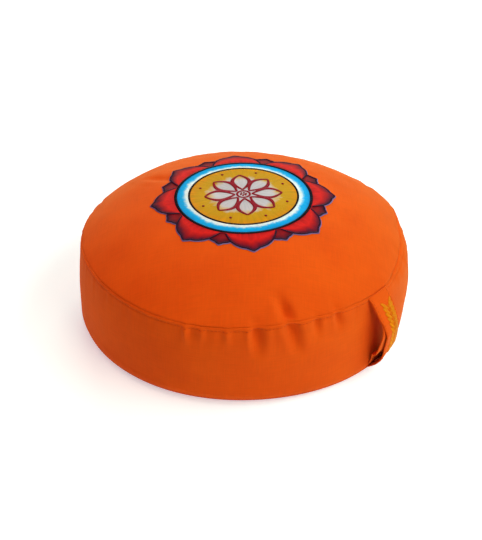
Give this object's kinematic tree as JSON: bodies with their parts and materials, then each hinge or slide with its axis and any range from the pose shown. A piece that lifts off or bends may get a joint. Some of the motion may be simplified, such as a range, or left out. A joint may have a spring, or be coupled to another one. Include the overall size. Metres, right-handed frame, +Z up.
{
  "type": "yoga cushion",
  "caption": "Round filled yoga cushion with a crowned top panel, a boxed side band, a carry strap and an embroidered flower on top.",
  "frame": {"origin": "on the floor under the middle of the cushion", "axes": "+Z up through the middle of the crown, +X out through the middle of the carry strap"},
  "size_m": [0.3468, 0.3286, 0.1313],
  "materials": {
    "cover_cotton": "matt plain-woven cotton, dyed orange",
    "strap_cotton": "matt plain-woven cotton, doubled, dyed orange",
    "gold_thread": "satin embroidery thread, gold shading to pale pink",
    "blue_thread": "satin embroidery thread, blue shading to white",
    "red_thread": "satin embroidery thread, red shading to crimson"
  },
  "bodies": {
    "root": {"cushion": "cover_cotton", "carry_strap": "strap_cotton", "disc_embroidery": "gold_thread", "ring_embroidery": "blue_thread", "petal_embroidery": "red_thread"}
  },
  "joints": []
}
